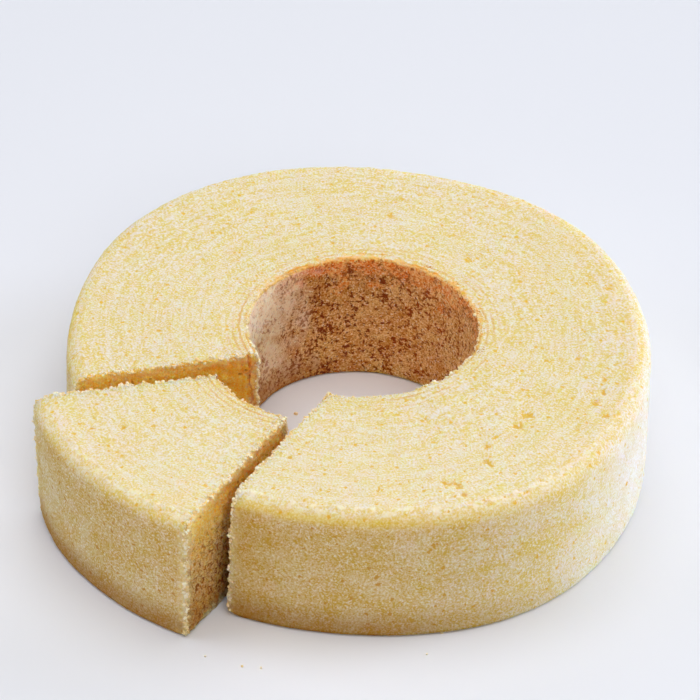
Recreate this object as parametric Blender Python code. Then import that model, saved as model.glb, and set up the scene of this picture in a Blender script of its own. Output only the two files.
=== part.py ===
"""Ring-shaped layer cake (baumkuchen) with one slice cut free and slid outwards.

Metres, +Z up. Each piece is a closed solid swept round the axis of the cake between two
straight cuts, which pass a little beside that axis, as a hand-held knife leaves them.
"""

import math

import bmesh
import bpy
from mathutils import Vector

MM = 0.001

# The whole cake
HEIGHT = 36.5 * MM
OUTER_RADIUS = 75.0 * MM
HOLE_RADIUS = 28.9 * MM
HOLE_CENTRE = (0.5 * MM, 0.4 * MM)
HOLE_LEAN = 0.8 * MM  # the hole is this much narrower at the base
SHOULDER_RADIUS = 5.0 * MM
RIM_RADIUS = 1.2 * MM
BASE_EDGE_RADIUS = 1.2 * MM
CUT_EDGE_RADIUS = 0.9 * MM
TOP_SWELL = 0.35 * MM

# Uneven outlines: waves round the cake, depth, angle of a crest in degrees
WALL_WAVES = ((2, 0.80 * MM, 104.5), (3, 0.30 * MM, 60.0), (4, 0.84 * MM, 38.0), (7, 0.20 * MM, -6.0))
HOLE_WAVES = ((2, 0.20 * MM, 22.5), (3, 0.15 * MM, 22.5))

# A cut is its direction in degrees, and how far counter-clockwise of the axis its line passes.
# Insets say how far inside the cake's outline the outer wall lies at each cut, at the top and at
# the base, and how much further in than the hole's radius the inner wall stands.
RING = {
    "cuts": ((242.0, 6.3 * MM), (196.0 + 360.0, 5.5 * MM)),
    "top_insets": (0.0, 0.0),
    "base_insets": (-1.5 * MM, -1.0 * MM),
    "hole_inset": 0.0,
    "shift": Vector((0.0, 0.0, 0.0)),
}
SLICE = {
    "cuts": ((194.2, 5.2 * MM), (242.4, 6.4 * MM)),
    "top_insets": (1.5 * MM, 0.0),
    "base_insets": (2.7 * MM, 0.3 * MM),
    "hole_inset": 0.9 * MM,
    "shift": Vector((-10.4 * MM, -10.7 * MM, 0.0)),
}

# Mesh steps
COLUMN_STEP = 4.0  # degrees between sections
CORNER_STEPS = 3
SHOULDER_STEPS = 5
WALL_STEPS = 4
TOP_STEPS = 6
ANGLE_ROUNDS = 6  # a section's angle and radius depend on each other and settle in this many rounds

# Colours (linear RGB)
CRUMB_COLOUR = (0.82, 0.68, 0.40, 1.0)
SKIN_COLOUR = (0.35, 0.15, 0.05, 1.0)


def clear_scene():
    for thing in list(bpy.data.objects):
        bpy.data.objects.remove(thing, do_unlink=True)


def make_material(name, colour, roughness):
    material = bpy.data.materials.new(name)
    material.use_nodes = True
    shader = material.node_tree.nodes["Principled BSDF"]
    shader.inputs["Base Color"].default_value = colour
    shader.inputs["Roughness"].default_value = roughness
    shader.inputs["Metallic"].default_value = 0.0
    material.diffuse_color = colour
    return material


def blend(ends, place):
    return ends[0] + (ends[1] - ends[0]) * place


def wave_sum(waves, angle):
    return sum(depth * math.cos(count * (angle - math.radians(crest))) for count, depth, crest in waves)


def wall_radius(angle):
    return OUTER_RADIUS + wave_sum(WALL_WAVES, angle)


def hole_radius(angle):
    """Distance from the cake's axis to the wall of the hole, whose centre is a little off the axis."""
    along = HOLE_CENTRE[0] * math.cos(angle) + HOLE_CENTRE[1] * math.sin(angle)
    across = HOLE_CENTRE[1] * math.cos(angle) - HOLE_CENTRE[0] * math.sin(angle)
    radius = HOLE_RADIUS + wave_sum(HOLE_WAVES, angle)
    return along + math.sqrt(radius**2 - across**2)


def top_swell(radius, angle):
    """The top isn't quite level: broad low waves round the cake and from the hole outwards."""
    ripple = 0.6 * math.sin(3 * angle + 0.8) * math.cos(radius / (11 * MM))
    sway = 0.4 * math.sin(2 * angle - radius / (16 * MM))
    return TOP_SWELL * (ripple + sway)


def arc(centre, radius, start, end, steps):
    turns = [math.radians(start + (end - start) * i / steps) for i in range(steps + 1)]
    return [(centre[0] + radius * math.cos(turn), centre[1] + radius * math.sin(turn)) for turn in turns]


def between(first, last, steps):
    """The points inside a straight stretch, without its two ends."""
    shares = [i / steps for i in range(1, steps)]
    return [tuple(a + (b - a) * share for a, b in zip(first, last)) for share in shares]


def outline(inner, outer, inset):
    """A section's rounded rectangle as (radius, height), from the rim over the top and down."""
    rim = (inner + RIM_RADIUS, HEIGHT - RIM_RADIUS)
    shoulder = (outer - SHOULDER_RADIUS, HEIGHT - SHOULDER_RADIUS)
    outer_foot = (outer - BASE_EDGE_RADIUS, BASE_EDGE_RADIUS)
    inner_foot = (inner + BASE_EDGE_RADIUS, BASE_EDGE_RADIUS)
    corners = (
        arc(rim, RIM_RADIUS - inset, 180, 90, CORNER_STEPS),
        arc(shoulder, SHOULDER_RADIUS - inset, 90, 0, SHOULDER_STEPS),
        arc(outer_foot, BASE_EDGE_RADIUS - inset, 0, -90, CORNER_STEPS),
        arc(inner_foot, BASE_EDGE_RADIUS - inset, -90, -180, CORNER_STEPS),
    )
    stretches = (TOP_STEPS, WALL_STEPS, 1, WALL_STEPS)
    points = []
    for corner, following, steps in zip(corners, corners[1:] + corners[:1], stretches):
        points += corner + between(corner[-1], following[0], steps)
    return points


def section_point(index, angle, place, inset, piece):
    """Point number index of the section at this angle, leaned and swollen: its radius and height."""
    top_inset, base_inset = (blend(piece[key], place) for key in ("top_insets", "base_insets"))
    inner = hole_radius(angle) - piece["hole_inset"]
    outer = wall_radius(angle) - top_inset
    radius, height = outline(inner, outer, inset)[index]
    share = (radius - inner) / (outer - inner)
    drop = 1.0 - height / HEIGHT
    radius += drop * (share * (top_inset - base_inset) - (1.0 - share) * HOLE_LEAN)
    height *= 1.0 + top_swell(radius, angle) / HEIGHT
    return radius, height


def cut_angle(cut, depth, radius):
    """Where a cut, moved sideways by depth, crosses this radius."""
    direction, offset = cut
    return math.radians(direction) + math.asin((offset + depth) / radius)


def section_loop(place, depth, inset, piece):
    """One section of a piece as points round the cake's axis.

    Place runs from 0 at the first cut to 1 at the last. Depth is how far inside the cut the
    section lies there, and inset shrinks it, which rounds the edges of the cut face.
    """
    first_cut, last_cut = piece["cuts"]
    loop = []
    for index, (radius, height) in enumerate(outline(HOLE_RADIUS, OUTER_RADIUS, inset)):
        for _ in range(ANGLE_ROUNDS):
            first = cut_angle(first_cut, depth, radius)
            last = cut_angle(last_cut, -depth, radius)
            angle = first + (last - first) * place
            radius, height = section_point(index, angle, place, inset, piece)
        loop.append(Vector((radius * math.cos(angle), radius * math.sin(angle), height)))
    return loop


def section_loops(piece):
    """All sections of a piece, close together where the edges of its cut faces are rounded."""
    (first, _), (last, _) = piece["cuts"]
    turns = [math.radians(90.0 * i / CORNER_STEPS) for i in range(CORNER_STEPS + 1)]
    edge = [(CUT_EDGE_RADIUS * (1 - math.cos(t)), CUT_EDGE_RADIUS * (1 - math.sin(t))) for t in turns]
    steps = round((last - first) / COLUMN_STEP)
    start = [section_loop(0.0, depth, inset, piece) for depth, inset in edge]
    middle = [section_loop(i / steps, CUT_EDGE_RADIUS, 0.0, piece) for i in range(1, steps)]
    end = [section_loop(1.0, depth, inset, piece) for depth, inset in reversed(edge)]
    return start + middle + end


def make_piece(name, piece, materials):
    """Joins the sections into a closed mesh, the hole's wall in the second material."""
    bm = bmesh.new()
    loops = [[bm.verts.new(point) for point in loop] for loop in section_loops(piece)]
    for near, far in zip(loops, loops[1:]):
        for i in range(len(near)):
            j = (i + 1) % len(near)
            bm.faces.new((near[i], near[j], far[j], far[i]))
    bm.faces.new(loops[0][::-1])
    bm.faces.new(loops[-1])
    bmesh.ops.recalc_face_normals(bm, faces=bm.faces)
    for face in bm.faces:
        middle = face.calc_center_median().xy.length
        face.material_index = int(middle < HOLE_RADIUS + RIM_RADIUS / 2)
    mesh = bpy.data.meshes.new(name)
    bm.to_mesh(mesh)
    bm.free()
    mesh.shade_smooth()
    mesh.set_sharp_from_angle(angle=math.radians(40))
    for material in materials:
        mesh.materials.append(material)
    thing = bpy.data.objects.new(name, mesh)
    thing.location = piece["shift"]
    bpy.context.scene.collection.objects.link(thing)
    return thing


def footprint_middle(things):
    """The middle of the box round all pieces, seen from above."""
    points = [thing.location + vertex.co for thing in things for vertex in thing.data.vertices]
    middle = [(min(p[k] for p in points) + max(p[k] for p in points)) / 2 for k in (0, 1)]
    return Vector((*middle, 0.0))


def main():
    clear_scene()
    materials = (
        make_material("sponge_crumb", CRUMB_COLOUR, 0.9),
        make_material("browned_skin", SKIN_COLOUR, 0.8),
    )
    things = [make_piece("ring", RING, materials), make_piece("slice", SLICE, materials)]
    cake = bpy.data.objects.new("baumkuchen", None)
    bpy.context.scene.collection.objects.link(cake)
    middle = footprint_middle(things)
    for thing in things:
        thing.location -= middle
        thing.parent = cake
    bpy.context.view_layer.update()


main()
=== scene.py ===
import math

import bpy
from mathutils import Matrix, Vector


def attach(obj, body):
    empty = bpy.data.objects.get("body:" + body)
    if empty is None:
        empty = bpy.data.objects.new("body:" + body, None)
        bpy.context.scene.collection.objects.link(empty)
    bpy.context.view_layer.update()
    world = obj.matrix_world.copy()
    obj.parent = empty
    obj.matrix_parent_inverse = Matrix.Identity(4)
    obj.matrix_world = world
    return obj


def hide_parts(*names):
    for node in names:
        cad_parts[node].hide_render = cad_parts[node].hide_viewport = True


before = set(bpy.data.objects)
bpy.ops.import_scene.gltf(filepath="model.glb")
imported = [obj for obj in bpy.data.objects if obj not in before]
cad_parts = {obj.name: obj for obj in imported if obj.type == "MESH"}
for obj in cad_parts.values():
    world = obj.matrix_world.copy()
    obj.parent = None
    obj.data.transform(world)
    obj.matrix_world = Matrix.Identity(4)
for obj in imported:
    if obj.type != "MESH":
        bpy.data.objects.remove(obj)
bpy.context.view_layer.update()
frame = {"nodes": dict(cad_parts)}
mm = 0.001
half = (0.5, 0.5, 0.5)
print("frame loaded:", ", ".join(frame["nodes"]))


def linearColour(hexCode):  # sRGB hex to the linear values a socket takes
    parts = [int(hexCode[i:i + 2], 16) / 255 for i in (1, 3, 5)]
    return (*[p / 12.92 if p <= 0.04045 else ((p + 0.055) / 1.055) ** 2.4 for p in parts], 1.0)


# a node with its settings; its inputs are links or values, by name or in order
def addNode(tree, kind, inputs=(), **settings):
    node = tree.nodes.new(kind)
    for key, value in settings.items():
        setattr(node, key, value)
    for key, value in inputs.items() if isinstance(inputs, dict) else enumerate(inputs):
        if isinstance(value, bpy.types.Node):
            value = next(socket for socket in value.outputs if socket.enabled)
        if isinstance(value, bpy.types.NodeSocket):
            tree.links.new(value, node.inputs[key])
        elif value is not None:
            node.inputs[key].default_value = value
    return node


# works out rows of steps: a result, its operation, and its terms, which are numbers, hex colours or results
# LINEAR and the smooth ranges have what they read, where they begin and end, and their value at either end
# NOISE has a place, a width in millimetres, its detail and its roughness
# TINT and SHADE have a mask, a colour and what is laid over it
def addSteps(tree, known, steps):
    for result, operation, *terms in steps:
        for i, term in enumerate(terms):
            if isinstance(term, str):
                terms[i] = linearColour(term) if term.startswith("#") else known[term]
        if operation in ("LINEAR", "SMOOTHSTEP", "SMOOTHERSTEP"):
            node = addNode(tree, "ShaderNodeMapRange", terms, interpolation_type=operation)
        elif operation in ("TINT", "SHADE"):
            way = "MIX" if operation == "TINT" else "MULTIPLY"
            layers = dict(zip((0, 6, 7), terms))
            node = addNode(tree, "ShaderNodeMix", layers, data_type="RGBA", blend_type=way)
        elif operation == "NOISE":
            place, width, detail, roughness = terms
            look = {"Vector": place, "Scale": 1 / (width * mm), "Detail": detail, "Roughness": roughness}
            node = addNode(tree, "ShaderNodeTexNoise", look)
        elif operation == "MULTIPLY":  # a product of two or more
            node = terms[0]
            for term in terms[1:]:
                node = addNode(tree, "ShaderNodeMath", (node, term), operation=operation)
        else:
            node = addNode(tree, "ShaderNodeMath", terms, operation=operation)
        known[result] = node


def newTree(name, sockets):  # a geometry tree with named inputs and one geometry output
    tree = bpy.data.node_groups.new(name, "GeometryNodeTree")
    for label, kind in sockets:
        tree.interface.new_socket(label, in_out="INPUT", socket_type="NodeSocket" + kind)
    tree.interface.new_socket("Geometry", in_out="OUTPUT", socket_type="NodeSocketGeometry")
    return tree


def growPiece(name, tree, values, start=None):  # runs a tree with these inputs and keeps a plain mesh
    holder = bpy.data.objects.new(name + "Holder", start or bpy.data.meshes.new(name + "Start"))
    bpy.context.scene.collection.objects.link(holder)
    modifier = holder.modifiers.new("nodes", "NODES")
    modifier.node_group = tree
    for socket in tree.interface.items_tree:
        if socket.in_out == "INPUT" and socket.name != "Geometry":
            modifier[socket.identifier] = values[socket.name]
    evaluated = holder.evaluated_get(bpy.context.evaluated_depsgraph_get())
    mesh = bpy.data.meshes.new_from_object(evaluated)
    mesh.name = name
    piece = bpy.data.objects.new(name, mesh)
    bpy.context.scene.collection.objects.link(piece)
    bpy.data.objects.remove(holder)
    print(name, "has", sum(len(face.vertices) - 2 for face in mesh.polygons), "triangles")
    return piece


# the whole cake by the rules of the solids, with tighter edges, in millimetres and degrees
cake = {
    "axis": (2.431, 1.533),
    "height": 36.5,
    "outerRadius": 75.0,
    "holeRadius": 28.9,
    "holeCentre": (0.5, 0.4),
    "holeLean": 0.8,
    "topSwell": 0.35,
    "ripple": (0.6, 3.0, 0.8, 11.0),  # of the top: share, count round the cake, turn, length
    "sway": (0.4, 2.0, 16.0),  # share, count, length
    "shoulder": 4.3,
    "rim": 0.9,
    "baseEdge": 1.2,
    "wallWaves": ((2, 0.80, 104.5), (3, 0.30, 60.0), (4, 0.84, 38.0), (7, 0.20, -6.0)),  # count, depth, crest
    "holeWaves": ((2, 0.20, 22.5), (3, 0.15, 22.5)),
    "crowding": {"around": 0.25, "across": 0.45, "up": 0.45},  # how much finer the faces are near the edges
    "waviness": 0.5,  # how far the low waves, the grain, the crumbling edges and the pits reach
    "grainDepth": 0.4,
    "raggedDepth": 3.6,
    "pitDepth": 0.5,
    "holePoreDepth": 0.2,  # as a share of the pits'
    "cutRoughness": 0.8,  # how much of the ragged edges' relief the cut faces have
}

# pores of each kind, in millimetres: spacing, smallest and largest radius, share of places that have one,
# and how they are torn: width, reach and detail
finePores = {"spacing": 2.0, "radii": (0.25, 0.7), "share": 0.55, "tear": (0.8, 1.1, 2.0)}
pits = {"spacing": 7.0, "radii": (0.5, 1.1), "share": 0.3, "tear": (1.3, 2.2, 2.0)}
# the hole's pores gather in clusters: their size, how far apart the clusters lie, how strongly they gather,
# how much of the wall is open, and how soft the pores' edges are
holePores = {"size": 1.05, "cluster": 6.0, "gather": 0.3, "level": 0.43, "soft": 0.045}
topDents = {  # the larger dents on the top: how they are torn, then their places and radii
    "tear": (1.1, 5.0, 3.0),
    "places": (
        (44.0, -32.3, 2.0), (41.5, -36.4, 1.8), (35.9, -41.1, 1.2), (33.9, -44.7, 1.1), (34.1, -50.9, 1.5),
        (27.0, -59.6, 1.6), (24.6, -60.0, 1.5), (8.1, -62.8, 1.3), (65.3, 22.0, 1.2), (29.8, 32.8, 1.5),
        (9.2, 51.4, 1.4), (63.0, -21.9, 1.0), (61.1, -25.6, 1.1), (63.2, -31.1, 1.1), (19.3, -35.5, 1.1),
    ),
}


def tearPlace(tree, place, width, reach, detail):  # shifts places at random, so that what is drawn looks torn
    look = {"Vector": place, "Scale": 1 / (width * mm), "Detail": detail}
    wobble = addNode(tree, "ShaderNodeTexNoise", look)
    centred = addNode(tree, "ShaderNodeVectorMath", (wobble.outputs["Color"], half), operation="SUBTRACT")
    bend = addNode(tree, "ShaderNodeVectorMath", {0: centred, "Scale": reach * mm}, operation="SCALE")
    return addNode(tree, "ShaderNodeVectorMath", (place, bend), operation="ADD")


def addPores(tree, place, pore):  # 1 in the middle of a pore, 0 between pores
    torn = tearPlace(tree, place, *pore["tear"])
    cells = addNode(tree, "ShaderNodeTexVoronoi", {"Vector": torn, "Scale": 1 / (pore["spacing"] * mm)})
    chance = addNode(tree, "ShaderNodeSeparateXYZ", (cells.outputs["Color"],))
    known = {"away": cells, "chance": chance.outputs[0], "size": chance.outputs[1]}
    addSteps(tree, known, [
        ("radius", "LINEAR", "size", 0.0, 1.0, *[radius / pore["spacing"] for radius in pore["radii"]]),
        ("there", "LESS_THAN", "chance", pore["share"]),
        ("reach", "DIVIDE", "away", "radius"),
        ("bowl", "SMOOTHSTEP", "reach", 1.0, 0.5, 0.0, 1.0),
        ("pore", "MULTIPLY", "bowl", "there"),
    ])
    return known["pore"]


def addDents(tree, place):  # the dents that have a known place on the top
    torn = tearPlace(tree, place, *topDents["tear"])
    known = {}
    for x, y, radius in topDents["places"]:
        middle = (x * mm, y * mm, cake["height"] * mm)
        away = addNode(tree, "ShaderNodeVectorMath", (torn, middle), operation="DISTANCE")
        known["away"] = away.outputs["Value"]
        addSteps(tree, known, [("dent", "SMOOTHSTEP", "away", radius * mm, 0.5 * radius * mm, 0.0, 1.0)])
        if "dents" in known:
            addSteps(tree, known, [("dent", "MAXIMUM", "dents", "dent")])
        known["dents"] = known["dent"]
    return known["dents"]


def addClusters(tree, place):  # 1 inside torn pores that gather in clusters
    known = {"place": place}
    middle = holePores["level"] + 0.5 * holePores["gather"]
    addSteps(tree, known, [
        ("fine", "NOISE", "place", holePores["size"], 3.0, 0.62),
        ("broad", "NOISE", "place", holePores["cluster"], 1.0, 0.5),
        ("level", "MULTIPLY_ADD", "broad", holePores["gather"], "fine"),
        ("inside", "SMOOTHSTEP", "level", middle + holePores["soft"], middle - holePores["soft"], 0.0, 1.0),
    ])
    return known["inside"]


# the shape of a piece: a box of faces, one unit each way, bent round the axis between two cuts
tiny = 1e-4  # less than any step of the box
flatPart = 0.46  # how far from its middle the base is flat, where 0.5 is its edge
joinWithin = 1e-5  # points of the box that are this close become one
turnRound = 2 * math.pi
gridSteps = [
    # the flat base is never seen: its faces shrink to one line of points
    ("onBase", "LESS_THAN", "up", tiny),
    ("midAround", "SUBTRACT", "around", 0.5), ("midAcross", "SUBTRACT", "across", 0.5),
    ("midUp", "SUBTRACT", "up", 0.5),
    ("offAround", "ABSOLUTE", "midAround"), ("offAcross", "ABSOLUTE", "midAcross"),
    ("betweenCuts", "LESS_THAN", "offAround", 0.5 - tiny), ("flatAcross", "LESS_THAN", "offAcross", flatPart),
    ("shrinkBase", "MULTIPLY", "betweenCuts", "flatAcross", "onBase"),
    ("keepAcross", "SUBTRACT", 1.0, "shrinkBase"), ("newAcross", "MULTIPLY", "midAcross", "keepAcross"),
]
for axis, crowd in cake["crowding"].items():
    gridSteps += [
        ("turn", "MULTIPLY", axis, turnRound),
        ("turnSine", "SINE", "turn"),
        (axis, "MULTIPLY_ADD", "turnSine", -crowd / turnRound, axis),
    ]

# the insets of the wall, and how the height bends round the edges of the section
startSteps = [
    ("wide", "SUBTRACT", "Outer Radius", "Hole Radius"),
    ("radius", "MULTIPLY_ADD", "wide", "across", "Hole Radius"),
    ("topGrow", "SUBTRACT", "Last Top Inset", "First Top Inset"),
    ("topInset", "MULTIPLY_ADD", "topGrow", "around", "First Top Inset"),
    ("baseGrow", "SUBTRACT", "Last Base Inset", "First Base Inset"),
    ("baseInset", "MULTIPLY_ADD", "baseGrow", "around", "First Base Inset"),
    ("lean", "SUBTRACT", "topInset", "baseInset"),
    ("outerHalf", "GREATER_THAN", "across", 0.5), ("topHalf", "GREATER_THAN", "up", 0.5),
    ("cornerGrow", "SUBTRACT", "Shoulder", "Rim"),
    ("topCorner", "MULTIPLY_ADD", "cornerGrow", "outerHalf", "Rim"),
    ("bendGrow", "SUBTRACT", "topCorner", "Base Edge"),
    ("bend", "MULTIPLY_ADD", "bendGrow", "topHalf", "Base Edge"),
    ("flatZ", "MULTIPLY", "up", "Height"), ("bentTop", "SUBTRACT", "Height", "bend"),
    ("raisedZ", "MAXIMUM", "flatZ", "bend"), ("coreZ", "MINIMUM", "raisedZ", "bentTop"),
    ("offZ", "SUBTRACT", "flatZ", "coreZ"),
    ("squareZ", "MULTIPLY", "offZ", "offZ"), ("longZ", "ABSOLUTE", "offZ"),
]
angleSteps = [
    ("firstSine", "DIVIDE", "First Offset", "radius"), ("firstTurn", "ARCSINE", "firstSine"),
    ("first", "ADD", "First Cut", "firstTurn"),
    ("lastSine", "DIVIDE", "Last Offset", "radius"), ("lastTurn", "ARCSINE", "lastSine"),
    ("last", "ADD", "Last Cut", "lastTurn"),
    ("span", "SUBTRACT", "last", "first"), ("angle", "MULTIPLY_ADD", "span", "around", "first"),
    ("cosine", "COSINE", "angle"), ("sine", "SINE", "angle"),
]


def waveSteps(label, start, waves):  # a radius with its waves round the cake
    steps = []
    before = start
    for i, (count, depth, crest) in enumerate(waves, 1):
        after = label if i == len(waves) else f"{label}{i}"
        steps += [
            ("waveTurn", "MULTIPLY_ADD", "angle", float(count), -count * math.radians(crest)),
            ("waveRise", "COSINE", "waveTurn"),
            (after, "MULTIPLY_ADD", "waveRise", depth * mm, before),
        ]
        before = after
    return steps


# radius and angle depend on each other and settle in two rounds of these
holeX, holeY = [part * mm for part in cake["holeCentre"]]
sectionSteps = angleSteps + [
    *waveSteps("wallAt", "Outer Radius", cake["wallWaves"]),
    *waveSteps("reach", "Hole Radius", cake["holeWaves"]),
    ("wall", "SUBTRACT", "wallAt", "topInset"),
    ("aheadY", "MULTIPLY", "sine", holeY), ("ahead", "MULTIPLY_ADD", "cosine", holeX, "aheadY"),
    ("asideX", "MULTIPLY", "sine", -holeX), ("aside", "MULTIPLY_ADD", "cosine", holeY, "asideX"),
    ("asideSquare", "MULTIPLY", "aside", "aside"), ("reachSquare", "MULTIPLY", "reach", "reach"),
    ("chordSquare", "SUBTRACT", "reachSquare", "asideSquare"), ("chord", "SQRT", "chordSquare"),
    ("holeAt", "ADD", "ahead", "chord"), ("hole", "SUBTRACT", "holeAt", "Hole Inset"),
    ("width", "SUBTRACT", "wall", "hole"),
    # the section's edges are round: what lies past their middles is pulled in to an arc
    ("flatX", "MULTIPLY", "across", "width"), ("bentSide", "SUBTRACT", "width", "bend"),
    ("raisedX", "MAXIMUM", "flatX", "bend"), ("coreX", "MINIMUM", "raisedX", "bentSide"),
    ("offX", "SUBTRACT", "flatX", "coreX"), ("square", "MULTIPLY_ADD", "offX", "offX", "squareZ"),
    ("safe", "MAXIMUM", "square", 1e-16), ("round", "SQRT", "safe"),  # never a division by nothing
    ("longX", "ABSOLUTE", "offX"), ("longest", "MAXIMUM", "longX", "longZ"),
    ("pull", "DIVIDE", "longest", "round"),
    ("bentX", "MULTIPLY_ADD", "offX", "pull", "coreX"), ("level", "MULTIPLY_ADD", "offZ", "pull", "coreZ"),
    ("upright", "ADD", "hole", "bentX"),
    # the walls lean
    ("share", "DIVIDE", "bentX", "width"), ("heightShare", "DIVIDE", "level", "Height"),
    ("drop", "SUBTRACT", 1.0, "heightShare"), ("spread", "MULTIPLY", "share", "lean"),
    ("nearHole", "SUBTRACT", "share", 1.0), ("moved", "MULTIPLY_ADD", "nearHole", "Hole Lean", "spread"),
    ("radius", "MULTIPLY_ADD", "drop", "moved", "upright"),
]
rippleShare, rippleCount, rippleTurn, rippleLength = cake["ripple"]
swayShare, swayCount, swayLength = cake["sway"]
endSteps = angleSteps + [
    # the top isn't quite level
    ("rippleTurn", "MULTIPLY_ADD", "angle", rippleCount, rippleTurn), ("rippleSine", "SINE", "rippleTurn"),
    ("rippleAway", "DIVIDE", "radius", rippleLength * mm), ("rippleFade", "COSINE", "rippleAway"),
    ("ripple", "MULTIPLY", "rippleSine", "rippleFade"),
    ("swayAway", "DIVIDE", "radius", -swayLength * mm),
    ("swayTurn", "MULTIPLY_ADD", "angle", swayCount, "swayAway"),
    ("sway", "SINE", "swayTurn"), ("smallSway", "MULTIPLY", "sway", swayShare),
    ("both", "MULTIPLY_ADD", "ripple", rippleShare, "smallSway"), ("swell", "MULTIPLY", "both", "Top Swell"),
    ("swellShare", "DIVIDE", "swell", "Height"), ("height", "MULTIPLY_ADD", "level", "swellShare", "level"),
    ("x", "MULTIPLY", "radius", "cosine"), ("y", "MULTIPLY", "radius", "sine"),
    # distances from the edges of the cut faces and from the rim of the hole
    ("backAround", "SUBTRACT", 1.0, "around"), ("endAround", "MINIMUM", "around", "backAround"),
    ("toCut", "MULTIPLY", "endAround", "span", "radius"),
    ("backAcross", "SUBTRACT", 1.0, "across"), ("endAcross", "MINIMUM", "across", "backAcross"),
    ("toSide", "MULTIPLY", "endAcross", "width"),
    ("toTop", "SUBTRACT", "Height", "flatZ"), ("toEnd", "MINIMUM", "toTop", "flatZ"),
    ("toFaceEdge", "MINIMUM", "toSide", "toEnd"), ("cutEdge", "MAXIMUM", "toCut", "toFaceEdge"),
    ("cutFace", "LESS_THAN", "toCut", 1e-6), ("notCut", "SUBTRACT", 1.0, "cutFace"),
    ("fromHole", "SUBTRACT", "radius", "hole"), ("rimEdge", "MAXIMUM", "fromHole", "toTop"),
    ("atHole", "LESS_THAN", "across", tiny), ("holeWall", "MULTIPLY", "atHole", "notCut"),
    ("arcLength", "MULTIPLY", "angle", 50 * mm),  # along the layers, in the middle of the crumb
    ("shown", "SUBTRACT", 1.0, "onBase"),
]

# where crumbs cling: along the cut edges and the rim, not at the foot
fringeSteps = [
    ("alongCut", "LINEAR", "cutEdge", 0.0, 1.1 * mm, 1.0, 0.0),
    ("alongRim", "LINEAR", "rimEdge", 0.0, 0.8 * mm, 0.8, 0.0),
    ("alongBoth", "MAXIMUM", "alongCut", "alongRim"),
    ("aboveFoot", "LINEAR", "z", 0.8 * mm, 1.6 * mm, 0.0, 1.0),
    ("fringe", "MULTIPLY", "alongBoth", "aboveFoot"),
]
# relief: low waves, grain, a ridge on the shoulder, edges that crumble, pits and the hole's pores
reliefSteps = [
    ("wave", "NOISE", "place", 8.0, 1.0, 0.5),
    ("grain", "NOISE", "place", 1.1, 2.0, 0.7),
    ("ragged", "NOISE", "place", 1.7, 3.0, 0.7),
    ("nearRim", "LINEAR", "rimEdge", 0.0, 1.4 * mm, 1.0, 0.0),
    ("nearEdge", "MAXIMUM", "nearRim", "nearCut"),
    ("ridgeFar", "LINEAR", "facesUp", 0.999, 0.985, 0.0, 0.6),
    ("ridgeNear", "LINEAR", "facesUp", 0.8, 0.93, 0.0, 1.0),
    ("ridge", "MULTIPLY", "ridgeFar", "ridgeNear"),
    ("nearRidge", "MAXIMUM", "nearEdge", "ridge"),
    ("rough", "MULTIPLY", "cutFace", cake["cutRoughness"]),
    ("crumbling", "MAXIMUM", "nearRidge", "rough"),
    ("hollow", "MAXIMUM", "pits", "dents"),
    ("inHole", "MULTIPLY", "clusters", "holeWall"),
    ("hollow", "MULTIPLY_ADD", "inHole", cake["holePoreDepth"], "hollow"),
    ("pitLift", "MULTIPLY", "Pit Depth", -1.0),
    ("lift", "MULTIPLY", "hollow", "pitLift"),
    ("waveLevel", "SUBTRACT", "wave", 0.5), ("lift", "MULTIPLY_ADD", "waveLevel", "Waviness", "lift"),
    ("grainLevel", "SUBTRACT", "grain", 0.5), ("lift", "MULTIPLY_ADD", "grainLevel", "Grain Depth", "lift"),
    ("raggedLevel", "SUBTRACT", "ragged", 0.5), ("raggedThere", "MULTIPLY", "raggedLevel", "crumbling"),
    ("lift", "MULTIPLY_ADD", "raggedThere", "Ragged Depth", "lift"),
    ("lift", "MULTIPLY", "lift", "shown"),
]

countInputs = ("Steps Around", "Steps Across", "Steps Up", "Soft Rounds")
sizeInputs = ("Height", "Outer Radius", "Hole Radius", "Hole Lean", "Shoulder", "Rim", "Base Edge",
              "Top Swell", "Waviness", "Grain Depth", "Ragged Depth", "Pit Depth")
cutInputs = ("First Cut", "First Offset", "Last Cut", "Last Offset",
             "First Top Inset", "Last Top Inset", "First Base Inset", "Last Base Inset", "Hole Inset")


# stores results on the mesh's points, for the materials and for later nodes, which read back what they need
def storeResults(tree, flow, known, labels, needed):
    for label in labels:
        kind = "FLOAT_VECTOR" if label in ("place", "layerPlace") else "FLOAT"
        stored = {"Geometry": flow, "Name": label, "Value": known[label]}
        flow = addNode(tree, "GeometryNodeStoreNamedAttribute", stored, data_type=kind, domain="POINT")
        if label in needed:
            known[label] = addNode(tree, "GeometryNodeInputNamedAttribute", {"Name": label}, data_type=kind)
    return flow


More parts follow.
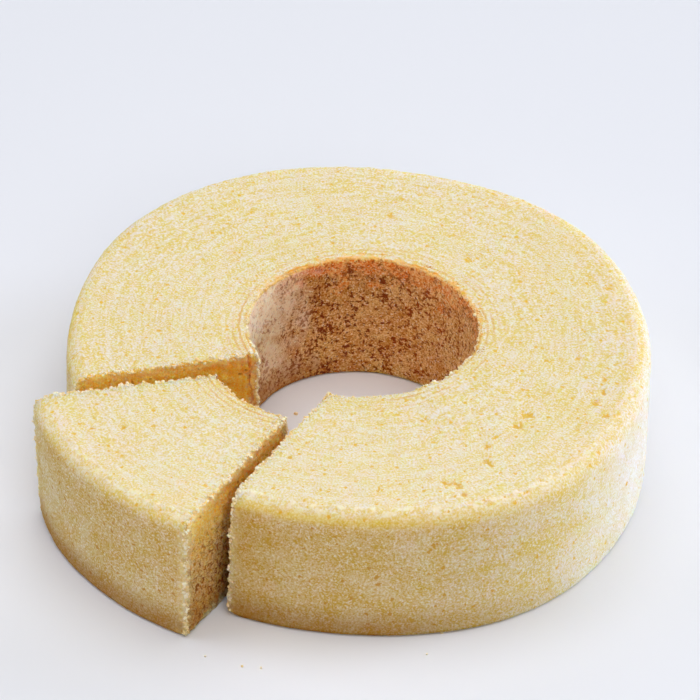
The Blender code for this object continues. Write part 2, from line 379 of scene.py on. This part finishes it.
def cakeTree():
    counts = [(label, "Int") for label in countInputs]
    numbers = [(label, "Float") for label in sizeInputs + cutInputs]
    tree = newTree("cakeShape", counts + numbers + [("Centre", "Vector"), ("Material", "Material")])
    known = {socket.name: socket for socket in addNode(tree, "NodeGroupInput").outputs}
    faces = {"Size": (1, 1, 1)}
    for side, label in (("X", "Steps Around"), ("Y", "Steps Across"), ("Z", "Steps Up")):
        faces["Vertices " + side] = known[label]
    box = addNode(tree, "GeometryNodeMeshCube", faces)
    here = addNode(tree, "GeometryNodeInputPosition")
    corner = addNode(tree, "ShaderNodeVectorMath", (here, half), operation="ADD")
    known["around"], known["across"], known["up"] = addNode(tree, "ShaderNodeSeparateXYZ", (corner,)).outputs
    addSteps(tree, known, gridSteps + startSteps + sectionSteps * 2 + endSteps)
    line = addNode(tree, "ShaderNodeCombineXYZ", (known["midAround"], known["newAcross"], known["midUp"]))
    flow = addNode(tree, "GeometryNodeSetPosition", {"Geometry": box, "Position": line})
    flow = addNode(tree, "GeometryNodeMergeByDistance", {"Geometry": flow, "Distance": joinWithin})
    flow = addNode(tree, "GeometryNodeFlipFaces", {"Mesh": flow})
    turned = addNode(tree, "ShaderNodeCombineXYZ", (known["x"], known["y"], known["height"]))
    spot = addNode(tree, "ShaderNodeVectorMath", (turned, known["Centre"]), operation="ADD")
    along = (known["arcLength"], known["fromHole"], known["height"])
    known["layerPlace"] = addNode(tree, "ShaderNodeCombineXYZ", along)
    again = ("cutEdge", "cutFace", "rimEdge", "holeWall", "shown")
    flow = storeResults(tree, flow, known, (*again, "fromHole", "layerPlace"), again)
    flow = addNode(tree, "GeometryNodeSetPosition", {"Geometry": flow, "Position": spot})

    # a soft crumb doesn't keep a sharp edge where it is cut
    addSteps(tree, known, [("nearCut", "SMOOTHSTEP", "cutEdge", 0.0, 3.0 * mm, 1.0, 0.0)])
    blur = {"Value": here, "Iterations": known["Soft Rounds"], "Weight": known["nearCut"]}
    soft = addNode(tree, "GeometryNodeBlurAttribute", blur, data_type="FLOAT_VECTOR")
    flow = addNode(tree, "GeometryNodeSetPosition", {"Geometry": flow, "Position": soft})

    normal = addNode(tree, "GeometryNodeInputNormal")
    known["place"] = here
    known["z"] = addNode(tree, "ShaderNodeSeparateXYZ", (here,)).outputs[2]
    known["facesUp"] = addNode(tree, "ShaderNodeSeparateXYZ", (normal,)).outputs[2]
    addSteps(tree, known, fringeSteps)
    flow = storeResults(tree, flow, known, ("place", "facesUp", "fringe"), ("place", "facesUp"))

    place = known["place"]
    known["pits"] = addPores(tree, place, pits)
    known["dents"] = addDents(tree, place)
    known["clusters"] = addClusters(tree, place)
    addSteps(tree, known, reliefSteps)
    push = addNode(tree, "ShaderNodeVectorMath", {0: normal, "Scale": known["lift"]}, operation="SCALE")
    flow = addNode(tree, "GeometryNodeSetPosition", {"Geometry": flow, "Offset": push})
    flow = addNode(tree, "GeometryNodeSetShadeSmooth", {"Geometry": flow})
    flow = addNode(tree, "GeometryNodeRealizeInstances", {"Geometry": flow})
    flow = addNode(tree, "GeometryNodeSetMaterial", {"Geometry": flow, "Material": known["Material"]})
    addNode(tree, "NodeGroupOutput", {"Geometry": flow})
    return tree


def cakeValues(part, material):  # what the tree is given for one part of the cake
    values = dict(zip(countInputs, (*part["steps"], part["softRounds"])))
    values["Material"] = material
    values["Centre"] = [(a + s) * mm for a, s in zip(cake["axis"], part["shift"])] + [0.0]
    values["Hole Inset"] = part["holeInset"] * mm
    for end, cut, top, base in zip(("First", "Last"), part["cuts"], part["topInsets"], part["baseInsets"]):
        values[end + " Cut"] = math.radians(cut[0])
        values[end + " Offset"] = cut[1] * mm
        values[end + " Top Inset"] = top * mm
        values[end + " Base Inset"] = base * mm
    for label in sizeInputs:
        values[label] = cake[label[0].lower() + label[1:].replace(" ", "")] * mm
    return values


def newMaterial(name):
    material = bpy.data.materials.new(name)
    material.use_nodes = True
    material.node_tree.nodes.clear()
    return material, material.node_tree


# the yellow of the open crumb and the pale of its standing edges, on the top and on each surface laid over it
crumbColours = {
    "top": ("#E0C663", "#E7DED0"),
    # the wall's tan, laid on most towards the front and the left, is partly crust and partly painted shade
    "wall": ("#CE9D38", "#E6D29E"),
    "cut": ("#E2A652", "#FFEABC"),
    # painted glow: the brighter gold of the cut faces near the top and at the left cut
    "cutTop": ("#FFC048", "#FFE49A"),
    "skin": ("#F0C268", "#FFE6AC"),
    "hole": ("#BC6E28", "#F0C27C"),
    "right": ("#D2843A", "#FFD28C"),
    "red": ("#E4741E", "#FFD084"),
    # painted light: the near-white of the hole's left wall where the light from the right falls
    "faint": ("#FFE6C8", "#FFFFF8"),
}
patternSteps = [
    ("grain", "NOISE", "place", 0.5, 1.0, 0.6),  # the real crumb is finer, and is drawn this coarse to show
    ("mottle", "NOISE", "place", 1.9, 2.0, 0.5),
    ("patches", "NOISE", "place", 5.0, 3.0, 0.5),
    ("lumps", "NOISE", "place", 1.2, 3.0, 0.6),
    ("streak", "NOISE", "stretched", 1.1, 2.0, 0.5),
    ("breaks", "NOISE", "stretched", 2.2, 2.0, 0.5),
]
layerStretch = (0.14, 1.0, 0.14)  # streaks and breaks are drawn out along the layers
layerWidth = 1.6 * mm
layerStart = -3.6  # where in its turn the first layer's line begins
crumbWays = {  # directions from the middle of the cake
    "towardsRight": (0.95, 0.3, 0.0),
    "towardsLeft": (-0.95, 0.3, 0.0),
    "towardsBack": (0.28, 0.96, 0.0),
    "towardsLeftCut": (-0.96, -0.28, 0.0),
    "towardsSlice": (-0.77, -0.64, 0.0),
}
crumbLook = {  # matte, with a soft glow: light goes 6 mm into sponge, red the deepest
    "Roughness": 0.92, "IOR": 1.45, "Specular IOR Level": 0.25,
    "Subsurface Radius": (1.0, 0.55, 0.1), "Subsurface Scale": 6 * mm,
}

# masks for each kind of surface
surfaceSteps = [
    # the wall begins on the shoulder; its tan crust is laid on more towards the front and the left, partly
    # real crust and partly painted shade, and fades towards the lit right
    ("side", "LINEAR", "facesUp", 0.48, -0.12, 0.0, 1.0),
    ("browned", "LINEAR", "towardsRight", -0.2, 0.55, 1.0, 0.0),
    ("loose", "MULTIPLY_ADD", "mottle", 7.0 * mm, "cutEdge"),
    ("fromEdge", "LINEAR", "loose", 3.3 * mm, 5.7 * mm, 0.1, 1.0),
    ("wall", "MULTIPLY", "side", "browned", "fromEdge"),
    # the cut faces lose their colour towards their crumbling edges, but not at the top
    ("inside", "LINEAR", "loose", 3.5 * mm, 5.9 * mm, 0.0, 1.0),
    ("topEnd", "LINEAR", "z", 31 * mm, 35 * mm, 0.0, 1.0),
    ("insideOrTop", "MAXIMUM", "inside", "topEnd"),
    ("cut", "MULTIPLY", "insideOrTop", "cutFace"),
    # the hole's wall ends on its rim in a torn line, and its skin is a yellower edge of the cut faces
    ("torn", "MULTIPLY_ADD", "patches", 6.0 * mm, "fromHole"),
    ("nearHole", "LINEAR", "torn", 4.2 * mm, 5.4 * mm, 1.0, 0.0),
    ("grainUp", "MULTIPLY_ADD", "grain", 1.3, "facesUp"),
    ("tornUp", "MULTIPLY_ADD", "patches", 1.5, "grainUp"),
    ("upright", "LINEAR", "tornUp", 1.7, 2.15, 1.0, 0.0),
    ("notCut", "SUBTRACT", 1.0, "cutFace"),
    ("hole", "MULTIPLY", "nearHole", "upright", "notCut"),
    ("notHole", "SUBTRACT", 1.0, "hole"),
    ("inSkin", "LINEAR", "torn", 4.4 * mm, 5.2 * mm, 0.8, 0.0),
    ("skin", "MULTIPLY", "inSkin", "cutFace"),
    # painted glow: the crumb at the left cut is painted the most orange, and the cut faces warmer and
    # brighter near the top, standing in for light that comes through the crumb and bounces in the gap
    ("leftCut", "LINEAR", "towardsLeftCut", 0.86, 0.96, 0.0, 1.0),
    ("orange", "MULTIPLY", "leftCut", "cut"),
    ("underTop", "LINEAR", "z", 20 * mm, 31 * mm, 0.0, 1.0),
    ("warm", "MAXIMUM", "underTop", "orange"),
    ("cutTop", "MULTIPLY", "warm", "cut"),
    # the hole is redder under its rim at the back and the right; at the left, where the light from the right
    # falls, it is painted pale as painted light
    ("high", "MULTIPLY_ADD", "patches", 40 * mm, "z"),
    ("most", "LINEAR", "towardsBack", 0.1, 0.6, 0.0, 1.0),
    ("underRim", "SMOOTHSTEP", "high", 47 * mm, 56 * mm, 0.0, 1.0),
    ("red", "MULTIPLY", "underRim", "most", "hole"),
    ("tornLeft", "MULTIPLY_ADD", "patches", 0.6, "towardsLeft"),
    ("paleLeft", "LINEAR", "tornLeft", 0.9, 1.26, 0.0, 1.0),
    ("lit", "LINEAR", "high", 20 * mm, 44 * mm, 0.4, 1.0),
    ("faint", "MULTIPLY", "paleLeft", "lit", "hole"),
    ("farRight", "LINEAR", "towardsRight", 0.4, 0.85, 0.0, 0.8),
    ("right", "MULTIPLY", "farRight", "hole"),
]
# masks for what is laid over those surfaces
overSteps = [
    # painted highlights on the highest tips of the grain
    ("tips", "LINEAR", "grain", 0.63, 0.72, 0.0, 0.7),  # the highest tips are pale
    # the rim is golden at the back
    ("tornRim", "MULTIPLY_ADD", "mottle", 9.0 * mm, "rimEdge"),
    ("onRim", "LINEAR", "tornRim", 4.2 * mm, 6.6 * mm, 0.9, 0.0),
    ("rimGold", "MULTIPLY", "onRim", "most", "notHole"),
    # the top is paler towards the front, and its end there crumbles whitish
    ("forward", "LINEAR", "y", -25 * mm, -70 * mm, 0.0, 0.16),
    ("ridge", "LINEAR", "facesUp", 0.45, 0.9, 0.0, 1.0),
    ("paleFront", "MULTIPLY", "forward", "ridge"),
    ("ridgeEnd", "LINEAR", "facesUp", 0.998, 0.97, 0.0, 2.6),
    ("broadTip", "LINEAR", "mottle", 0.5, 0.58, 0.0, 1.0),
    ("whitish", "MULTIPLY", "ridgeEnd", "paleFront", "ridge", "broadTip"),
    ("pale", "ADD", "paleFront", "whitish"),
    # painted light: the right side, where the low light at the right falls, is painted the lightest of all
    ("rightmost", "LINEAR", "towardsRight", 0.45, 0.9, 0.0, 0.7),
    ("paleSide", "LINEAR", "facesUp", 0.97, 0.15, 0.0, 1.0),
    ("clearOfHole", "LINEAR", "hole", 0.0, 0.3, 1.0, 0.0),
    ("palest", "MULTIPLY", "rightmost", "paleSide", "clearOfHole"),
    # the cut crumb is coarser, in lumps with brown gaps painted as shade in the recesses, but the light gets
    # in near the top and at the left, where that painted shade fades
    ("coarse", "MULTIPLY", "lumps", "cut"),
    ("between", "LINEAR", "coarse", 0.36, 0.5, 1.0, 0.0),
    ("lightest", "MAXIMUM", "orange", "cutTop"),
    ("lightIn", "LINEAR", "lightest", 0.0, 1.0, 1.0, 0.05),
    ("gaps", "MULTIPLY", "between", "cut", "lightIn"),
    # pores and dents show the more golden crumb below, with painted bounce light and shade in the hollows;
    # the hole's pores the dark of the bake
    ("hollow", "MAXIMUM", "pits", "dents"),
    ("deep", "MAXIMUM", "hollow", "pores"),
    ("golden", "MULTIPLY", "deep", "notHole", 0.88),
    ("lessRed", "MULTIPLY_ADD", "red", -0.4, "hole"),
    # fewer dark pores where the hole's left wall is painted lit
    ("lessFaint", "MULTIPLY_ADD", "faint", -0.45, "lessRed"),
    ("baked", "MULTIPLY", "clusters", "lessFaint"),
    ("redder", "MAXIMUM", "right", "red"),
    # lines of the innermost layers, broken and fading outwards, and most shown on the slice
    ("shift", "MULTIPLY_ADD", "mottle", 1.0 * mm, "fromHole"),
    ("layerTurn", "MULTIPLY_ADD", "shift", turnRound / layerWidth, layerStart),
    ("layerSine", "SINE", "layerTurn"),
    ("ply", "SMOOTHSTEP", "layerSine", -0.2, 0.95, 0.0, 1.0),
    ("fade", "LINEAR", "fromHole", 0.8 * mm, 8 * mm, 1.0, 0.0),
    ("broken", "LINEAR", "breaks", 0.43, 0.62, 0.0, 1.0),
    ("onSlice", "LINEAR", "towardsSlice", 0.8, 0.93, 0.0, 0.6),
    ("plyShown", "ADD", "broken", "onSlice"),
    ("layerLines", "MULTIPLY", "ply", "fade", "plyShown", "notHole"),
    # the skin ends on the cut faces in a browner line
    ("skinEnd", "COMPARE", "torn", 5.3 * mm, 0.3 * mm),
    ("skinLine", "MULTIPLY", "skinEnd", "cutFace"),
    # painted shade: a yellower band along the ring's shoulder where it turns from the light, and a darker,
    # yellower wall on the left
    ("rise", "LINEAR", "facesUp", 0.84, 0.56, 0.0, 1.0),
    ("fall", "LINEAR", "facesUp", 0.08, 0.4, 0.0, 1.0),
    ("onRing", "LINEAR", "onSlice", 0.0, 0.6, 1.0, 0.35),
    ("band", "MULTIPLY", "rise", "fall", "browned", "onRing"),
    # painted shade: the wall on the left, away from the light, is tinted darker and yellower
    ("leftwards", "LINEAR", "x", -4 * mm, -24 * mm, 0.0, 1.0),
    ("notSlice", "LINEAR", "x", -40 * mm, -34 * mm, 0.0, 1.0),
    ("yellow", "MULTIPLY", "leftwards", "wall", "notSlice"),
    # pale standing edges, partly a painted highlight, and painted shade low down: a painted contact shadow at
    # the wall's foot, and darker cut faces towards the bottom of the gap
    # the pale band along the crumbling edges is partly the crumb's own colour and partly a painted highlight
    # where raised crumbs catch the light
    ("edgeNear", "LINEAR", "loose", 3.7 * mm, 6.9 * mm, 0.6, 0.0),
    ("edge", "MULTIPLY", "edgeNear", "side"),
    # painted shade: the wall darkens towards the floor
    ("low", "SMOOTHERSTEP", "z", 0.3 * mm, 12.5 * mm, 1.0, 0.0),
    ("wallFoot", "MULTIPLY", "low", "wall"),
    # painted shade: the cut faces darken towards the bottom, less where light gets in
    ("lower", "LINEAR", "z", 0.0, 27 * mm, 0.95, 0.0),
    ("cutFoot", "MULTIPLY", "lower", "cut", "lightIn"),
    ("foot", "MAXIMUM", "wallFoot", "cutFoot"),
]
colourSteps = [
    ("colour", "TINT", "tone", "yellowCrumb", "paleCrumb"),
    # painted highlights on the grain's tips
    ("colour", "TINT", "tips", "colour", "#F1EADC"),
    ("colour", "TINT", "rimGold", "colour", "#F5B860"),
    ("colour", "TINT", "pale", "colour", "#F8F0D8"),
    # painted light: the pale tones of the lit right side
    ("palestTone", "TINT", "tone", "#EADFCB", "#FAF7F2"),
    ("colour", "TINT", "palest", "colour", "palestTone"),
    # painted glow: the left cut is tinted more orange
    ("colour", "SHADE", "orange", "colour", "#FFFDCC"),
    # painted shade in the gaps between the cut crumb's lumps
    ("colour", "SHADE", "gaps", "colour", "#AA743C"),
    ("inner", "TINT", "wall", "#E4B838", "#C28030"),
    # pores and dents tinted golden: the crumb's own colour with painted bounce light and shade
    ("colour", "TINT", "golden", "colour", "inner"),
    # the dark pores are painted lighter where the hole's left wall is painted lit
    ("scorch", "TINT", "faint", "#82370C", "#C47C48"),
    ("scorch", "TINT", "redder", "scorch", "#AA4E14"),
    ("colour", "TINT", "baked", "colour", "scorch"),
    ("colour", "SHADE", "layerLines", "colour", "#F6CE7C"),
    ("colour", "SHADE", "skinLine", "colour", "#E3B070"),
    # painted shade: the shoulder turns yellower where it turns from the light
    ("colour", "SHADE", "band", "colour", "#FFF6BC"),
    # painted shade on the left wall
    ("colour", "SHADE", "yellow", "colour", "#F4E6C0"),
    # pale crumbling edges: own colour with a painted highlight
    ("colour", "TINT", "edge", "colour", "#F6E0A4"),
    # painted shade low on the wall and on the cut faces
    ("colour", "SHADE", "foot", "colour", "#C09C68"),
]
# the grain stands up by a tenth of a millimetre or two, pores lie lower; the thin crumbling edges don't glow
heightSteps = [
    ("height", "MULTIPLY_ADD", "pores", -0.35, "grain"),
    ("height", "MULTIPLY_ADD", "baked", -0.8, "height"),
    ("height", "MULTIPLY_ADD", "coarse", 4.0, "height"),
    ("toEdge", "MINIMUM", "cutEdge", "rimEdge"),
    ("through", "LINEAR", "toEdge", 0.3 * mm, 1.8 * mm, 0.35, 1.0),
]


# sponge crumb: matte, finely open, and lets light through
# pale where it stands up, golden in its pores, tan where it has baked; painted light and shade are laid into
# this colour too: highlights on tips and edges, glow on the cut faces, a lit right side and hole wall, and
# shade at the front, the left, the foot and in the gaps
def spongeMaterial():
    material, tree = newMaterial("spongeCrumb")
    known = {}
    for label in ("facesUp", "cutFace", "cutEdge", "rimEdge", "fromHole"):
        known[label] = addNode(tree, "ShaderNodeAttribute", attribute_name=label).outputs["Fac"]
    place = addNode(tree, "ShaderNodeAttribute", attribute_name="place").outputs["Vector"]
    layerPlace = addNode(tree, "ShaderNodeAttribute", attribute_name="layerPlace").outputs["Vector"]
    known["place"] = place
    known["x"], known["y"], known["z"] = addNode(tree, "ShaderNodeSeparateXYZ", (place,)).outputs
    stretched = addNode(tree, "ShaderNodeVectorMath", (layerPlace, layerStretch), operation="MULTIPLY")
    known["stretched"] = stretched
    addSteps(tree, known, patternSteps)
    outward = addNode(tree, "ShaderNodeVectorMath", (place, (1, 1, 0)), operation="MULTIPLY")
    outward = addNode(tree, "ShaderNodeVectorMath", (outward,), operation="NORMALIZE")
    for label, way in crumbWays.items():
        facing = addNode(tree, "ShaderNodeVectorMath", (outward, way), operation="DOT_PRODUCT")
        known[label] = facing.outputs["Value"]
    known["pores"] = addPores(tree, place, finePores)
    known["pits"] = addPores(tree, place, pits)
    known["dents"] = addDents(tree, place)
    known["clusters"] = addClusters(tree, place)

    # tone from yellow to pale, with the mottling and the layers a little in it
    tone = addNode(tree, "ShaderNodeMapRange", (known["grain"], 0.33, 0.67, 0.0, 1.0), clamp=False)
    for pattern, amount in (("mottle", 0.2), ("streak", 0.24)):
        soft = addNode(tree, "ShaderNodeMapRange", (known[pattern], 0.3, 0.7, -amount, amount))
        tone = addNode(tree, "ShaderNodeMath", (tone, soft), operation="ADD", use_clamp=True)
    known["tone"] = tone

    addSteps(tree, known, surfaceSteps + overSteps)
    known["plyShown"].use_clamp = True  # a share is 1 at most
    for i, label in enumerate(("yellowCrumb", "paleCrumb")):
        known[label] = linearColour(crumbColours["top"][i])
        surfaces = [kind for kind in crumbColours if kind != "top"]
        addSteps(tree, known, [(label, "TINT", kind, label, crumbColours[kind][i]) for kind in surfaces])
    addSteps(tree, known, colourSteps + heightSteps)
    relief = {"Strength": 0.55, "Distance": 0.3 * mm, "Height": known["height"]}
    bump = addNode(tree, "ShaderNodeBump", relief)
    shader = addNode(tree, "ShaderNodeBsdfPrincipled", {
        "Base Color": known["colour"], "Normal": bump, "Subsurface Weight": known["through"], **crumbLook})
    addNode(tree, "ShaderNodeOutputMaterial", {"Surface": shader})
    return material


looseInputs = (("Geometry", "Geometry"), ("Density", "Float"), ("Smallest", "Float"), ("Largest", "Float"),
               ("Rounds", "Int"), ("Seed", "Int"), ("Material", "Material"))
lumpShape = {"bumpScale": 1.3, "bumpReach": 1.6, "thinnest": 0.7, "longest": 1.3, "mostTurn": 6.28}


def crumbTree():  # small crumbs, scattered over faces by the attribute fringe or set on given points
    tree = newTree("looseCrumbShape", looseInputs)
    known = {socket.name: socket for socket in addNode(tree, "NodeGroupInput").outputs}
    here = addNode(tree, "GeometryNodeInputPosition")
    for result, label in (("fringe", "fringe"), ("given", "crumbSize")):
        known[result] = addNode(tree, "GeometryNodeInputNamedAttribute", {"Name": label}, data_type="FLOAT")
    known["chance"] = addNode(tree, "FunctionNodeRandomValue", {"Seed": 3}, data_type="FLOAT")
    addSteps(tree, known, [
        ("density", "MULTIPLY", "fringe", "Density"),
        ("isGiven", "GREATER_THAN", "given", 0.0),
        ("notGiven", "SUBTRACT", 1.0, "isGiven"),
        ("small", "POWER", "chance", 2.0),  # small crumbs are the most common
        ("drawn", "LINEAR", "small", 0.0, 1.0, "Smallest", "Largest"),
        ("size", "MULTIPLY_ADD", "drawn", "notGiven", "given"),
    ])
    scatter = {"Mesh": known["Geometry"], "Density": known["density"], "Seed": known["Seed"]}
    spread = addNode(tree, "GeometryNodeDistributePointsOnFaces", scatter)
    chosen = {"Mesh": known["Geometry"], "Selection": known["isGiven"]}
    placed = addNode(tree, "GeometryNodeMeshToPoints", chosen)
    points = addNode(tree, "GeometryNodeJoinGeometry", (spread,))
    tree.links.new(placed.outputs[0], points.inputs[0])

    # one rugged lump, turned and stretched at random
    lump = addNode(tree, "GeometryNodeMeshIcoSphere", {"Radius": 1.0, "Subdivisions": known["Rounds"]})
    bumps = addNode(tree, "ShaderNodeTexNoise", {"Vector": here, "Scale": lumpShape["bumpScale"]})
    bumps = addNode(tree, "ShaderNodeVectorMath", (bumps.outputs["Color"], half), operation="SUBTRACT")
    bumpReach = {0: bumps, "Scale": lumpShape["bumpReach"]}
    bumps = addNode(tree, "ShaderNodeVectorMath", bumpReach, operation="SCALE")
    lump = addNode(tree, "GeometryNodeSetPosition", {"Geometry": lump, "Offset": bumps})
    sides = {"Min": (lumpShape["thinnest"],) * 3, "Max": (lumpShape["longest"],) * 3, "Seed": 4}
    stretch = addNode(tree, "FunctionNodeRandomValue", sides, data_type="FLOAT_VECTOR")
    stretch = addNode(tree, "ShaderNodeVectorMath", {0: stretch, "Scale": known["size"]}, operation="SCALE")
    turns = {"Max": (lumpShape["mostTurn"],) * 3, "Seed": 5}
    turn = addNode(tree, "FunctionNodeRandomValue", turns, data_type="FLOAT_VECTOR")
    copies = {"Points": points, "Instance": lump, "Rotation": turn, "Scale": stretch}
    flow = addNode(tree, "GeometryNodeInstanceOnPoints", copies)
    flow = addNode(tree, "GeometryNodeRealizeInstances", {"Geometry": flow})
    lowest = (-1.0, -1.0, 0.0)  # a crumb rests on the floor, not in it
    spot = addNode(tree, "ShaderNodeVectorMath", (here, lowest), operation="MAXIMUM")
    flow = addNode(tree, "GeometryNodeSetPosition", {"Geometry": flow, "Position": spot})
    flow = addNode(tree, "GeometryNodeSetMaterial", {"Geometry": flow, "Material": known["Material"]})
    addNode(tree, "NodeGroupOutput", {"Geometry": flow})
    return tree


dryLook = {
    "Roughness": 0.9, "IOR": 1.45, "Specular IOR Level": 0.25,
    "Subsurface Weight": 0.5, "Subsurface Radius": (1.0, 0.7, 0.4), "Subsurface Scale": 0.12 * mm,
}


def crumbMaterial():  # dry crumbs: matte, paler than the cake they fell from, more toasted at the back rim
    material, tree = newMaterial("dryCrumb")
    place = addNode(tree, "ShaderNodeTexCoord").outputs["Object"]
    known = {"place": place, "y": addNode(tree, "ShaderNodeSeparateXYZ", (place,)).outputs[1]}
    addSteps(tree, known, [
        ("mottle", "NOISE", "place", 1.5, 1.0, 0.5),
        ("tone", "LINEAR", "mottle", 0.4, 0.6, 0.0, 1.0),
        ("back", "LINEAR", "y", 5 * mm, 22 * mm, 0.0, 1.0),
        ("colour", "TINT", "tone", "#F4D698", "#FDF1D6"),
        ("colour", "TINT", "back", "colour", "#F8C470"),
    ])
    shader = addNode(tree, "ShaderNodeBsdfPrincipled", {"Base Color": known["colour"], **dryLook})
    addNode(tree, "ShaderNodeOutputMaterial", {"Surface": shader})
    return material


sponge = spongeMaterial()
dryCrumb = crumbMaterial()
print("materials made")

ringPart = {
    "steps": (480, 72, 54),
    "softRounds": 8,
    "cuts": ((242.0, 6.3), (556.0, 5.5)),  # direction, distance beside the axis
    "topInsets": (0.0, 0.0),
    "baseInsets": (-1.5, -1.0),
    "holeInset": 0.0,
    "shift": (0.0, 0.0),
}
slicePart = {
    "steps": (180, 130, 104),
    "softRounds": 24,
    "cuts": ((194.2, 5.2), (242.4, 6.4)),
    "topInsets": (1.5, 0.0),
    "baseInsets": (2.7, 0.3),
    "holeInset": 0.9,
    "shift": (-10.4, -10.7),
}
shape = cakeTree()
pieces = {}
for name, part, node in (("ringCrumb", ringPart, "ring"), ("sliceCrumb", slicePart, "slice")):
    pieces[name] = growPiece(name, shape, cakeValues(part, sponge))
    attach(pieces[name], "root")
    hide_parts(node)

clinging = {
    "Density": 4.5e6,  # crumbs to a square metre of fringe
    "Smallest": 0.12 * mm,
    "Largest": 0.46 * mm,
    "Rounds": 1,
    "Seed": 7,
    "Material": dryCrumb,
}
fallen = {"Density": 0.0, "Smallest": 0.0, "Largest": 0.0, "Rounds": 2, "Seed": 0, "Material": dryCrumb}
fallenPlaces = (  # on the floor: place and radius
    (-13.6, 11.0, 0.5), (-31.8, -84.0, 0.35), (-22.8, -87.0, 0.3), (-18.3, -87.4, 0.35), (21.2, -80.1, 0.3),
    (24.8, -72.0, 0.4), (36.5, -67.6, 0.35), (43.8, -62.8, 0.35),
)
looseStart = bpy.data.meshes.new("looseStart")
looseStart.from_pydata([(x * mm, y * mm, 0.6 * size * mm) for x, y, size in fallenPlaces], [], [])
looseSizes = looseStart.attributes.new("crumbSize", "FLOAT", "POINT")
looseSizes.data.foreach_set("value", [size * mm for _, _, size in fallenPlaces])
crumbShape = crumbTree()
for name, start, values in (
    ("ringCrumbs", pieces["ringCrumb"].data, clinging),
    ("sliceCrumbs", pieces["sliceCrumb"].data, clinging),
    ("fallenCrumbs", looseStart, fallen),
):
    pieces[name] = growPiece(name, crumbShape, values, start)
    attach(pieces[name], "root")

board = {"reach": 3.0, "colour": "#E5E6EA", "roughness": 0.6}
corners = [(x * board["reach"], y * board["reach"], 0) for x, y in ((-1, -1), (1, -1), (1, 1), (-1, 1))]
floorMesh = bpy.data.meshes.new("floor")
floorMesh.from_pydata(corners, [], [(0, 1, 2, 3)])
floor = bpy.data.objects.new("floor", floorMesh)
bpy.context.scene.collection.objects.link(floor)
floorMaterial, floorTree = newMaterial("paleFloor")  # matte white board
floorLook = {"Base Color": linearColour(board["colour"]), "Roughness": board["roughness"]}
floorShader = addNode(floorTree, "ShaderNodeBsdfPrincipled", floorLook)
addNode(floorTree, "ShaderNodeOutputMaterial", {"Surface": floorShader})
floorMesh.materials.append(floorMaterial)

scene = bpy.context.scene
surroundings = 0.015  # the faint even light of the room
world = bpy.data.worlds.new("studio")
scene.world = world
world.use_nodes = True
world.node_tree.nodes["Background"].inputs["Color"].default_value = (1.0, 1.0, 1.0, 1.0)
world.node_tree.nodes["Background"].inputs["Strength"].default_value = surroundings

# name, place, width, watts, colour: a wide soft light above, a low one at the right, weaker ones round about
lights = (
    ("above", (0.0, 0.05, 1.6), 1.8, 19.0, (0.975, 0.985, 0.99)),
    ("lowRight", (1.6, 0.5, 0.35), 0.8, 16.2, (0.94, 1.03, 1.28)),
    ("behind", (0.0, 1.6, 0.9), 1.2, 4.4, (1.0, 1.0, 1.0)),
    ("left", (-1.5, 0.0, 0.9), 1.2, 6.8, (0.96, 1.0, 1.2)),
    ("front", (0.35, -1.25, 1.2), 1.2, 11.4, (1.0, 0.985, 0.965)),
)
aim = Vector((0, 0, 0.02))  # the middle of the cake
for name, spot, size, watts, colour in lights:
    light = bpy.data.lights.new(name, "AREA")
    light.shape = "DISK"
    light.size = size
    light.energy = watts
    light.color = colour
    lamp = bpy.data.objects.new(name, light)
    lamp.location = spot
    lamp.rotation_euler = (aim - Vector(spot)).to_track_quat("-Z", "Y").to_euler()
    scene.collection.objects.link(lamp)

view = {
    "tilt": 37.0457,  # degrees down from the level
    "roll": 2.3116,  # degrees
    "distance": 0.880,  # metres to where the cake's axis meets the floor
    "focus": 3396.53,  # of the lens, in pixels of the frame
    "middle": (359.955, 439.197),  # where the axis meets the floor in the frame, in pixels
    "frame": 700,  # pixels across
    "film": 36,  # millimetres across
}
tilt, roll = math.radians(view["tilt"]), math.radians(view["roll"])
back = Vector((0, -math.cos(tilt), math.sin(tilt)))
upward = Vector((0, math.sin(tilt), math.cos(tilt)))
rightward = Vector((1, 0, 0))
aimX, aimY = [(m - view["frame"] / 2) / view["focus"] * view["distance"] for m in view["middle"]]
axisFoot = Vector((cake["axis"][0] * mm, cake["axis"][1] * mm, 0))
eye = axisFoot + back * view["distance"] - rightward * aimX + upward * aimY
sideways = rightward * math.cos(roll) + upward * math.sin(roll)
upright = upward * math.cos(roll) - rightward * math.sin(roll)
lens = bpy.data.cameras.new("camera")
lens.sensor_width = view["film"]
lens.lens = view["focus"] / view["frame"] * view["film"]
lens.clip_start = 0.01
lens.clip_end = 20
camera = bpy.data.objects.new("camera", lens)
scene.collection.objects.link(camera)
camera.matrix_world = Matrix.Translation(eye) @ Matrix((sideways, upright, back)).transposed().to_4x4()
scene.camera = camera
scene.view_settings.view_transform = "Standard"
print("scene ready")
